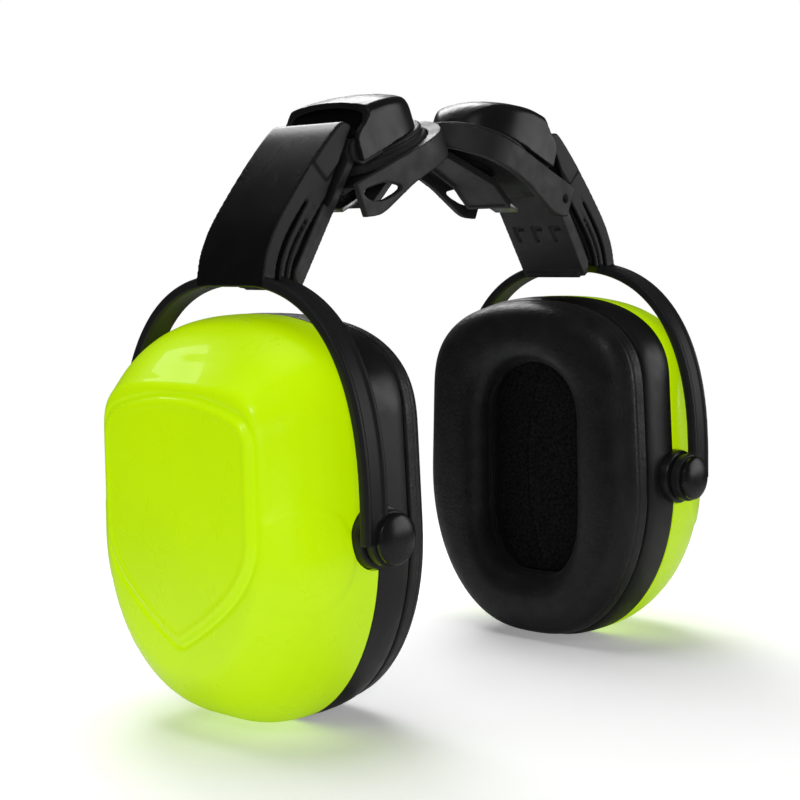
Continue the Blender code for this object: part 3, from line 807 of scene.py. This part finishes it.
def yoke_arm():
    """Strap, broad arm and head in one moulding, ribbed at its sides and hollow for the stem's tee."""
    yoke = loft("yoke", strap_rings())
    outer = curve(ARM_PROFILE[:10], 5)
    arm_loop = [tuple(p) for p in outer] + ARM_PROFILE[10:]
    arm = prism("tool", arm_loop, -ARM_HALF, ARM_HALF, side_plane)
    head = prism("tool", HEAD_PROFILE, -HEAD_HALF, HEAD_HALF, side_plane)
    lugs = [drum("tool", (PIN_X, sign * 45.1, PIN_Z), (0, sign, 0), 7.2, 3.0) for sign in (-1, 1)]
    join(yoke, arm, head, *lugs)
    face = curve(ARM_PROFILE[:ARM_FACE_POINTS], 6)
    ribbed = face[3:int(len(face) * 0.78)]
    skirt = [tuple(p) for p in inward(face[:int(len(face) * 0.8)], ARM_SKIRT)]
    for along, out in ((34.0, 7.6), (34.0, -4.0), (-30.0, -4.0)):
        x, _, z = along_out(along, out, 0)
        skirt.append((x, z))
    tools = []
    for sign in (-1, 1):
        for near, far, depth in RIB_GROOVES:
            low, high = sorted((sign * (ARM_HALF - depth), sign * (ARM_HALF + 2)))
            tools.append(prism("tool", side_band(ribbed, near, far), low, high, side_plane))
        low, high = sorted((sign * ARM_SKIRT_HALF, sign * (ARM_HALF + 2)))
        tools.append(prism("tool", skirt, low, high, side_plane))
    cavity = [(-15.2, 7.3), (19.0, 7.3), (19.0, 10.3), (-15.2, 10.3)]
    mouth = [(-14.8, 4.0), (18.6, 4.0), (18.6, 7.8), (-14.8, 7.8)]
    tools.append(prism("tool", cavity, -6.8, 6.8, along_out))
    tools.append(prism("tool", mouth, -3.8, 3.8, along_out))
    cut(yoke, *tools)
    return smooth_shade(moulded(yoke, 0.36, 3))


def stem():
    """Sliding plate with a tee that runs in the arm, side flanges, hinge lugs and three notch marks."""
    low, high = STEM_ALONG
    body = [(low, 0.0), (high, 0.0), (high, STEM_THICK), (low, STEM_THICK)]
    plate = prism("stem", body, -STEM_HALF, STEM_HALF, along_out)
    foot = [(low, -1.0), (low + 1.8, -1.0), (low + 1.8, 1.0), (low, 1.0)]
    flange = [(low + 1.0, 1.0), (3.0, 1.0), (3.0, 4.4), (low + 3.0, 4.4), (low + 1.0, 3.2)]
    web = [(-14.0, 1.0), (2.0, 1.0), (2.0, 8.4), (-14.0, 8.4)]
    tee = [(-14.0, 7.6), (2.0, 7.6), (2.0, 10.0), (-14.0, 10.0)]
    parts = [
        prism("tool", foot, -10.5, 10.5, along_out),
        prism("tool", web, -3.5, 3.5, along_out),
        prism("tool", tee, -6.5, 6.5, along_out),
    ]
    parts += [prism("tool", flange, low_y, low_y + 0.8, along_out) for low_y in (-11.95, 11.15)]
    for y0 in (-11.5, 6.0):
        parts.append(drum("tool", along_out(HINGE_ALONG, HINGE_OUT, y0), (0, 1, 0), 3.1, 5.5))
    join(plate, *parts)
    tools = [drum("tool", along_out(HINGE_ALONG, HINGE_OUT, -20), (0, 1, 0), HINGE_BORE_R, 40)]
    notch = [(14.5, -3.0), (30.0, -3.0), (30.0, 5.0), (14.5, 5.0)]
    tools.append(prism("tool", notch, -5.7, 5.7, along_out))
    for y0 in (-7.2, 0.0, 7.2):
        leg = [(-8.0, -1.0), (-2.4, -1.0), (-2.4, 1.1), (-8.0, 1.1)]
        bar = [(-3.8, -1.0), (-2.4, -1.0), (-2.4, 1.1), (-3.8, 1.1)]
        tools.append(prism("tool", leg, y0 + 0.4, y0 + 1.9, along_out))
        tools.append(prism("tool", bar, y0 - 2.4, y0 + 1.2, along_out))
    cut(plate, *tools)
    return smooth_shade(moulded(plate, 0.3, 3))


# ---------------------------------------------------------------- turret and hood
def turret():
    """Stepped collar that swivels on the deck, with two ears for the hinge pin."""
    profile = [
        (5.0, -2.4), (5.0, 0.3),
        (COLLAR_R - 0.3, 0.3), (COLLAR_R, 0.6), (COLLAR_R, 2.8), (COLLAR_R - 0.4, 3.2),
        (RIDGE_R - 0.2, 3.3), (RIDGE_R - 0.5, 4.0), (RIDGE_R, 4.7), (RIDGE_R - 0.1, 5.1),
        (RIDGE_R - 0.8, 5.5),
    ]
    body = lathe("turret", run_lift(0, 0, 0), DECK_NORMAL, profile, 128)
    hx, _, hz = along_out(HINGE_ALONG, HINGE_OUT, 0)
    c, s = math.cos(DECK_TILT), math.sin(DECK_TILT)
    dx, dz = hx - DECK_ORIGIN[0], hz - DECK_ORIGIN[1]
    h_run, h_lift = -dx * c + dz * s, dx * s + dz * c
    ear = [
        (h_run - 0.6, 4.0), (h_run - 2.9, h_lift - 2.0), (h_run - 3.2, h_lift), (h_run - 2.2, h_lift + 2.4),
        (h_run, h_lift + 3.2), (h_run + 2.4, h_lift + 2.4), (h_run + 12.0, 4.8), (h_run + 12.0, 4.0),
    ]
    ears = [prism("tool", ear, low, high, run_lift) for low, high in ((-13.8, -12.3), (12.3, 13.8))]
    join(body, *ears)
    bore = drum("tool", (hx, -20, hz), (0, 1, 0), HINGE_BORE_R, 40)
    hole = drum("tool", run_lift(0, -5, 0), DECK_NORMAL, 2.6, 8.4)
    cut(body, bore, hole)
    return smooth_shade(moulded(body, 0.32, 3))


HOOD_START = -18.6
HOOD_NOSE = -6.0
HOOD_END = 13.4
HOOD_TOP = [
    (HOOD_START, 19.4), (-12.0, 20.0), (-7.0, 19.7), (-2.0, 18.9), (4.0, 17.2), (8.0, 15.5),
    (11.0, 13.0), (12.7, 10.4), (HOOD_END, 7.6),
]


def hood_half(run, half):
    """Half width: straight sides up to the nose, then a rounded end."""
    if run <= HOOD_NOSE:
        return half
    return half * math.sqrt(max(1 - ((run - HOOD_NOSE) / (HOOD_END - HOOD_NOSE + 0.4)) ** 2.6, 0.0))


def hood_sections(shrink, base, first):
    """Arched sections from the mouth to the nose, each one wall smaller for the hollow."""
    rings = []
    for run, top in curve(HOOD_TOP, 5):
        place = max(run, first) if run < 0 else run * (HOOD_END - shrink) / HOOD_END
        if run < -15:
            place = first + (run - HOOD_START) * 0.2
        half = hood_half(run, HOOD_HALF - shrink)
        crown = top - shrink
        drop = min(4.4, (crown - base) * 0.55)
        side = []
        for turn in (0, 22, 44, 62, 72):
            a = math.radians(turn)
            y = half * (1 - 0.16 * (1 - math.cos(a)))
            side.append((y, crown - 1.4 - (drop - 1.4) * (1 - math.sin(a))))
        arch = [(-half, base)] + [(-y, lift) for y, lift in side]
        arch += [(part * side[-1][0], crown - 1.4 * part ** 2) for part in (-0.8, -0.4, 0.0, 0.4, 0.8)]
        arch += side[::-1] + [(half, base)]
        rings.append([run_lift(place, lift, y) for y, lift in arch])
    return rings


def hood():
    """Hollow cover over the turret, open at the mouth where the stem comes in."""
    body = loft("hood", hood_sections(0.0, 5.6, HOOD_START))
    hollow = loft("tool", hood_sections(HOOD_WALL, 3.0, -24.0))
    mouth = curve([
        (-18.4, 3.0), (-18.2, 9.0), (-17.8, 11.6), (-16.2, 13.4), (-13.2, 14.8), (-10.8, 16.9),
        (-10.2, 19.0), (-10.4, 24.0),
    ], 5)
    mouth = [(-30.0, 3.0)] + [tuple(p) for p in mouth] + [(-30.0, 24.0)]
    cut(body, hollow, prism("tool", mouth, -20, 20, run_lift))
    return smooth_shade(moulded(body, 0.3, 3))


def turret_rivet():
    """Rivet with its head below the deck."""
    profile = [(5.6, -4.3), (7.4, -3.5), (7.4, -2.7), (2.35, -2.7), (2.35, 2.9)]
    return smooth_shade(lathe("rivet", run_lift(0, 0, 0), DECK_NORMAL, profile), 35)


# ---------------------------------------------------------------- adapter
DECK_PLAN = [
    (-26.6, 19.2), (-14.0, 19.4), (-4.0, 19.8), (4.0, 19.8),
    (11.0, 18.0), (15.5, 14.6), (19.0, 10.0), (21.3, 4.5),
]
FRAME_LIP = 2.4
NOTCH_RUN = -22.6
NOTCH_HALF = 17.2


def plan_outline(inset):
    """The deck's outline from above, moved inwards."""
    pts = []
    for i, (run, half) in enumerate(DECK_PLAN):
        shift = inset if i == 0 else -inset if i == len(DECK_PLAN) - 1 else 0.0
        slim = inset if i < 5 else inset * 1.25
        pts.append((run + shift, half - slim))
    side = [tuple(p) for p in curve(pts, 6)]
    return side + [(run, -half) for run, half in reversed(side)]


def adapter_frame():
    """Deck with side walls below it, a round seat for the turret, a window and a notch for the stem."""
    body = prism("frame", plan_outline(0.0), -12.0, FRAME_LIP, deck_flat)
    lower = curve([(-26.6, -7.0), (-21.0, -8.5), (-14.0, -7.6), (-7.0, -6.2), (0.0, -5.6), (12.0, -5.4)], 6)
    under = [(-34.0, -6.0)] + [tuple(p) for p in lower] + [(30.0, -5.2), (30.0, -16.0), (-34.0, -16.0)]
    seat = COLLAR_R + 0.4
    channel = [(-34.0, -seat), (0.0, -seat), (0.0, seat), (-34.0, seat)]
    notch = [(-34.0, -NOTCH_HALF), (NOTCH_RUN, -NOTCH_HALF), (NOTCH_RUN, NOTCH_HALF), (-34.0, NOTCH_HALF)]
    window = curve([
        (-24.4, -0.2), (-24.3, -2.4), (-22.0, -4.3), (-18.0, -5.5), (-12.9, -5.5), (-10.9, -4.9),
        (-12.4, -3.6), (-16.5, -1.4),
    ], 4, closed=True)
    tools = [
        prism("tool", under, -30, 30, run_lift),
        prism("tool", plan_outline(WALL_THICK), -14.0, -DECK_THICK, deck_flat),
        prism("tool", channel, 0.0, 8.0, deck_flat),
        drum("tool", run_lift(0, 0, 0), DECK_NORMAL, seat, 8.0, 128),
        prism("tool", notch, -14.0, 1.0, deck_flat),
        prism("tool", [tuple(p) for p in window], 9.0, 26.0, run_lift),
        drum("tool", run_lift(-23.4, -2.6, -26.0), (0, 1, 0), 1.2, 14),
        drum("tool", run_lift(0, -8, 0), DECK_NORMAL, 5.3, 12),
    ]
    cut(body, *tools)
    return smooth_shade(moulded(body, 0.3, 3))


BLADE_STATIONS = [(-12.4, 8.4, -8.1), (-3.0, 8.2, -4.9), (16.6, 6.2, -4.9)]


def blade_rings(slim, low, high, ends):
    """The blade's sections, made slimmer and shorter for its hollow."""
    rings = []
    last = len(BLADE_STATIONS) - 1
    for i, (run, half, top) in enumerate(BLADE_STATIONS):
        place = run + (ends if i == 0 else 0) - (ends if i == last else 0)
        wide = half - slim
        loop = [(-wide, top + low), (wide, top + low), (wide, top + high), (-wide, top + high)]
        rings.append([run_lift(place, lift, y) for y, lift in loop])
    return rings


def slot_blade():
    """Tapered blade, hollow from below."""
    blade = loft("blade", blade_rings(0.0, -2.2, 0.0, 0.0))
    cut(blade, loft("tool", blade_rings(1.0, -5.0, -1.3, 1.0)))
    return smooth_shade(moulded(blade, 0.25, 2))


def blade_clip():
    """Bent spring clip under the blade."""
    arm = [(-20.8, -7.8), (-20.8, -6.4), (-13.2, -6.4), (-9.6, -4.6), (-8.6, -5.2), (-12.2, -7.8)]
    clip = prism("clip", arm, -4.5, 4.5, run_lift)
    edge = clip.modifiers.new("edge", "BEVEL")
    edge.width = 0.25 * MM
    edge.segments = 2
    return smooth_shade(bake(clip), 35)


# ---------------------------------------------------------------- build
to_both("cup_skin", cup_shell(), "cup_body", ["cup_shell"], "green")
to_both("rim", base_ring(), "cup_body", ["base_ring"], "rim")
to_both("pad", cushion(), "cup_body", ["cushion"], "skin")
to_both("lining", ear_lining(), "cup_body", ["foam_cover"], "foam")
to_both("pin_a", pivot_pins(-1), "cup_body", ["pivot_pin_a"], "trim")
to_both("pin_b", pivot_pins(1), "cup_body", ["pivot_pin_b"], "trim")
to_both("yoke", yoke_arm(), "arm_body", ["yoke_arm"], "arm")
to_both("stem_plate", stem(), "stem_body", ["stem"], "adapter")
to_both("turret_body", turret(), "turret_body", ["turret"], "adapter")
to_both("hood_cover", hood(), "turret_body", ["hood"], "hood")
to_both("rivet", turret_rivet(), "turret_body", ["turret_rivet"], "trim")
to_both("slot_frame", adapter_frame(), "adapters", ["adapter_frame"], "adapter")
to_both("blade", slot_blade(), "adapters", ["slot_blade"], "adapter")
to_both("clip", blade_clip(), "adapters", ["blade_clip"], "steel")

KEPT = {
    "cushion_plate": "rim",
    "foam_block": "foam",
    "hinge_pin": "steel",
    "torsion_spring": "steel",
}
for side in ("right", "left"):
    for node_name, material in KEPT.items():
        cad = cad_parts[f"{side}_{node_name}"]
        cad.data.materials.clear()
        cad.data.materials.append(MATERIALS[material])
        smooth_shade(cad, 40)


# ---------------------------------------------------------------- stage, lights, camera
FLOOR_SIZE = 8.0
FLOOR_WHITE = 0.96
FLOOR_FADE = (0.14, 0.4)
FLOOR_BOUNCE = 0.45
FLOOR_GLOW = 0.21
WORLD_FILL = 0.03


def floor():
    """White table: lit and shadowed round the object, plain white to the camera further out."""
    mesh = bpy.data.meshes.new("floor")
    corners = [(x * FLOOR_SIZE, y * FLOOR_SIZE, 0) for x, y in ((-1, -1), (1, -1), (1, 1), (-1, 1))]
    mesh.from_pydata(corners, [], [(0, 1, 2, 3)])
    obj = bpy.data.objects.new("floor", mesh)
    scene.collection.objects.link(obj)
    mat = look("floor", (FLOOR_WHITE,) * 3, 0.6, Specular_IOR_Level=0.0)
    nodes = mat.node_tree.nodes
    seen = node(mat, "ShaderNodeLightPath")
    paper = node(mat, "ShaderNodeMapRange")
    paper.inputs["To Min"].default_value = FLOOR_BOUNCE
    paper.inputs["To Max"].default_value = FLOOR_WHITE
    glow = node(mat, "ShaderNodeMapRange")
    glow.inputs["To Max"].default_value = FLOOR_GLOW
    where = node(mat, "ShaderNodeTexCoord")
    far = node(mat, "ShaderNodeVectorMath")
    far.operation = "LENGTH"
    fade = node(mat, "ShaderNodeMapRange")
    fade.interpolation_type = "SMOOTHSTEP"
    fade.inputs["From Min"].default_value = FLOOR_FADE[0]
    fade.inputs["From Max"].default_value = FLOOR_FADE[1]
    white = node(mat, "ShaderNodeEmission", Strength=1.0)
    dark = node(mat, "ShaderNodeEmission", Strength=WORLD_FILL)
    by_ray = node(mat, "ShaderNodeMixShader")
    mix = node(mat, "ShaderNodeMixShader")
    shader = nodes["Principled BSDF"]
    shader.inputs["Emission Color"].default_value = (1.0, 1.0, 1.0, 1.0)
    wire(mat, seen, "Is Camera Ray", paper, "Value")
    wire(mat, paper, "Result", shader, "Base Color")
    wire(mat, seen, "Is Camera Ray", glow, "Value")
    wire(mat, glow, "Result", shader, "Emission Strength")
    wire(mat, where, "Object", far, "Vector")
    wire(mat, far, "Value", fade, "Value")
    wire(mat, seen, "Is Camera Ray", by_ray, "Fac")
    wire(mat, dark, 0, by_ray, 1)
    wire(mat, white, 0, by_ray, 2)
    wire(mat, fade, "Result", mix, "Fac")
    wire(mat, shader, 0, mix, 1)
    wire(mat, by_ray, 0, mix, 2)
    wire(mat, mix, 0, nodes["Material Output"], "Surface")
    mesh.materials.append(mat)


def studio_world(fill):
    """White to the camera, a dim even fill to everything else."""
    world = bpy.data.worlds.new("studio")
    world.use_nodes = True
    tree = world.node_tree
    seen = tree.nodes.new("ShaderNodeLightPath")
    level = tree.nodes.new("ShaderNodeMapRange")
    level.inputs["To Min"].default_value = fill
    level.inputs["To Max"].default_value = 1.0
    back = tree.nodes["Background"]
    back.inputs["Color"].default_value = (1, 1, 1, 1)
    tree.links.new(seen.outputs["Is Camera Ray"], level.inputs["Value"])
    tree.links.new(level.outputs["Result"], back.inputs["Strength"])
    scene.world = world


def softbox(name, place, target, size, power, mirrored=True):
    """An area light. One that isn't mirrored lights surfaces but leaves no highlight."""
    data = bpy.data.lights.new(name, "AREA")
    data.shape = "RECTANGLE"
    data.size, data.size_y = size
    data.energy = power
    obj = bpy.data.objects.new(name, data)
    obj.location = place
    obj.rotation_euler = (Vector(target) - Vector(place)).to_track_quat("-Z", "Y").to_euler()
    obj.visible_glossy = mirrored
    scene.collection.objects.link(obj)
    return obj


def link_to_shells(light, state):
    """Let a light act on the two cup shells alone (INCLUDE), or on all but them (EXCLUDE)."""
    chosen = bpy.data.collections.new(light.name + "_" + state.lower())
    for side in ("right", "left"):
        chosen.objects.link(bpy.data.objects[f"{side}_cup_skin"])
    for entry in chosen.collection_objects:
        entry.light_linking.link_state = state
    light.light_linking.receiver_collection = chosen


# points the lights are aimed at, in metres
MIDDLE = (0.0, 0.0, 0.09)
CROWN = (0.0, 0.0, 0.16)
SHOULDER = (-0.088, 0.0, 0.096)

floor()
studio_world(WORLD_FILL)
softbox("top", (0.08, 0.22, 1.05), MIDDLE, (0.75, 0.75), 7.8, mirrored=False)
softbox("fill", (-0.85, -0.65, 0.16), MIDDLE, (0.8, 0.3), 7.0, mirrored=False)
back = softbox("back", (0.39, 0.66, 0.74), CROWN, (0.5, 0.36), 4.2)
softbox("spot", (-0.85, -0.25, 0.75), MIDDLE, (0.25, 0.25), 0.8)
gleam = softbox("gleam", (-0.09, 0.64, 0.59), SHOULDER, (0.08, 0.1), 0.065)
softbox("right", (0.9, -0.85, 0.35), MIDDLE, (0.9, 0.7), 3.2)
link_to_shells(gleam, "INCLUDE")
link_to_shells(back, "EXCLUDE")
scene.view_settings.view_transform = "Standard"

CAMERA_PLACE = Vector((-0.3695, -0.3337, 0.1269))
CAMERA_AZIMUTH = math.radians(-47.0)
CAMERA_ELEVATION = math.radians(5.4)
CAMERA_ROLL = math.radians(-1.0)
CAMERA_LENS = 76.5


def camera():
    """Camera at the object's front left, looking a little down on it."""
    a, e, r = CAMERA_AZIMUTH, CAMERA_ELEVATION, CAMERA_ROLL
    back = Vector((math.sin(a) * math.cos(e), -math.cos(a) * math.cos(e), math.sin(e)))
    right = Vector((0, 0, 1)).cross(back).normalized()
    up = back.cross(right)
    x_axis = right * math.cos(r) + up * math.sin(r)
    y_axis = -right * math.sin(r) + up * math.cos(r)
    data = bpy.data.cameras.new("camera")
    data.lens = CAMERA_LENS
    data.sensor_width = 36.0
    data.clip_start = 0.02
    data.clip_end = 50.0
    obj = bpy.data.objects.new("camera", data)
    turn = Matrix((x_axis, y_axis, back)).transposed().to_4x4()
    obj.matrix_world = Matrix.Translation(CAMERA_PLACE) @ turn
    scene.collection.objects.link(obj)
    scene.camera = obj


camera()
